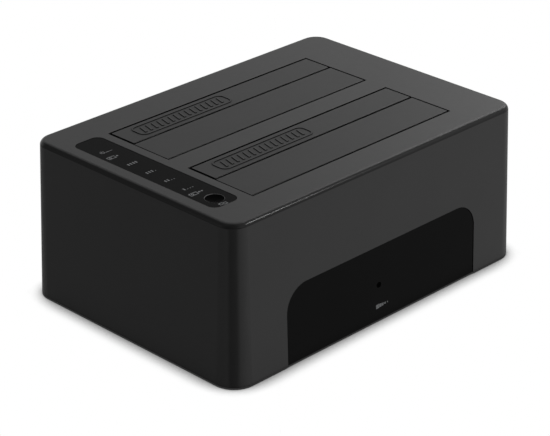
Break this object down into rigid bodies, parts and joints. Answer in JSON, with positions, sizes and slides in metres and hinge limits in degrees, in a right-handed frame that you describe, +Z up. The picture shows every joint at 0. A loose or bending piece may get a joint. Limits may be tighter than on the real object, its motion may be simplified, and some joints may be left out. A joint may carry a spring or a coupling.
{
  "type": "hard drive docking station",
  "caption": "Box-shaped desktop dock whose top has lengthwise drive bays closed by sprung hinged flaps, with an indicator strip, a push button, a gloss front panel and rear ports.",
  "frame": {"origin": "under the middle of the body, at the lower face of the feet", "axes": "+X to the right along the front, +Y towards the rear ports, +Z up out of the drive bays"},
  "size_m": [0.1548, 0.1106, 0.0636],
  "materials": {
    "housing": "fine satin moulded plastic",
    "flap": "fine satin moulded plastic",
    "gloss": "polished black",
    "smoked_lens": "smoked gloss",
    "inner_plastic": "plain moulded plastic",
    "black_plastic": "plain black plastic",
    "white_plastic": "plain white plastic",
    "steel": "plated steel",
    "spring_steel": "drawn wire",
    "contact": "plated contacts",
    "board": "solder mask",
    "lamp": "clear lamp bodies",
    "lead": "wire insulation",
    "ferrite": "sintered ferrite",
    "can": "drawn can",
    "rubber_foot": "soft matt rubber"
  },
  "bodies": {
    "dock": {"top_housing": "housing", "front_panel": "gloss", "indicator_panel": "smoked_lens", "drive_cage": "inner_plastic", "base_cover": "inner_plastic", "clone_switch_body": "black_plastic", "erase_switch_body": "black_plastic", "power_switch_body": "black_plastic", "dc_inlet_body": "black_plastic", "usb_tongue": "black_plastic", "rear_sata_socket": "black_plastic", "front_sata_socket": "black_plastic", "bridge_chip": "black_plastic", "memory_chips": "black_plastic", "light_shroud": "white_plastic", "ribbon_socket_upper": "white_plastic", "ribbon_socket_lower": "white_plastic", "ribbon_cable": "white_plastic", "rear_narrow_pin": "steel", "rear_wide_pin": "steel", "front_narrow_pin": "steel", "front_wide_pin": "steel", "dc_inlet_pin": "steel", "usb_shell": "steel", "crystal": "steel", "base_screws": "steel", "board_screws": "steel", "cage_screws": "steel", "indicator_screws": "steel", "rear_narrow_spring": "spring_steel", "rear_wide_spring": "spring_steel", "front_narrow_spring": "spring_steel", "front_wide_spring": "spring_steel", "rear_sata_contacts": "contact", "front_sata_contacts": "contact", "main_board": "board", "indicator_board": "board", "status_leds": "lamp", "switch_leads": "lead", "regulator_coils": "ferrite", "filter_capacitors": "can", "foot_front_left": "rubber_foot", "foot_front_right": "rubber_foot", "foot_rear_left": "rubber_foot", "foot_rear_right": "rubber_foot"},
    "rear_narrow_flap": {"rear_narrow_flap": "flap"},
    "rear_wide_flap": {"rear_wide_flap": "flap"},
    "front_narrow_flap": {"front_narrow_flap": "flap"},
    "front_wide_flap": {"front_wide_flap": "flap"},
    "clone_button": {"clone_button": "gloss", "clone_switch_plunger": "white_plastic"},
    "erase_plunger": {"erase_switch_plunger": "white_plastic"},
    "power_rocker": {"power_switch_rocker": "gloss"}
  },
  "joints": [
    {"name": "rear_narrow_flap_hinge", "type": "hinge", "parent": "dock", "child": "rear_narrow_flap", "pos_m": [-0.0001, 0.0375, 0.0599], "axis": [1, 0, 0], "range_deg": [0, 90], "stiffness_Nm_per_rad": 0.004, "springref_deg": -34.38, "deforming": ["rear_narrow_spring"]},
    {"name": "rear_wide_flap_hinge", "type": "hinge", "parent": "dock", "child": "rear_wide_flap", "pos_m": [-0.0001, 0.0024, 0.0599], "axis": [-1, 0, 0], "range_deg": [0, 90], "stiffness_Nm_per_rad": 0.004, "springref_deg": -34.38, "deforming": ["rear_wide_spring"]},
    {"name": "front_narrow_flap_hinge", "type": "hinge", "parent": "dock", "child": "front_narrow_flap", "pos_m": [-0.0001, -0.0055, 0.0599], "axis": [1, 0, 0], "range_deg": [0, 90], "stiffness_Nm_per_rad": 0.004, "springref_deg": -34.38, "deforming": ["front_narrow_spring"]},
    {"name": "front_wide_flap_hinge", "type": "hinge", "parent": "dock", "child": "front_wide_flap", "pos_m": [-0.0001, -0.0406, 0.0599], "axis": [-1, 0, 0], "range_deg": [0, 90], "stiffness_Nm_per_rad": 0.004, "springref_deg": -34.38, "deforming": ["front_wide_spring"]},
    {"name": "clone_button_press", "type": "slide", "parent": "dock", "child": "clone_button", "axis": [0, 0, -1], "range_m": [0, 0.0004], "stiffness_N_per_m": 300, "springref_m": -0.003},
    {"name": "erase_switch_press", "type": "slide", "parent": "dock", "child": "erase_plunger", "axis": [0, 1, 0], "range_m": [0, 0.0003], "stiffness_N_per_m": 300, "springref_m": -0.003},
    {"name": "power_rocker_tilt", "type": "hinge", "parent": "dock", "child": "power_rocker", "pos_m": [0.058, 0.05198, 0.02672], "axis": [1, 0, 0], "range_deg": [0, 16]}
  ]
}
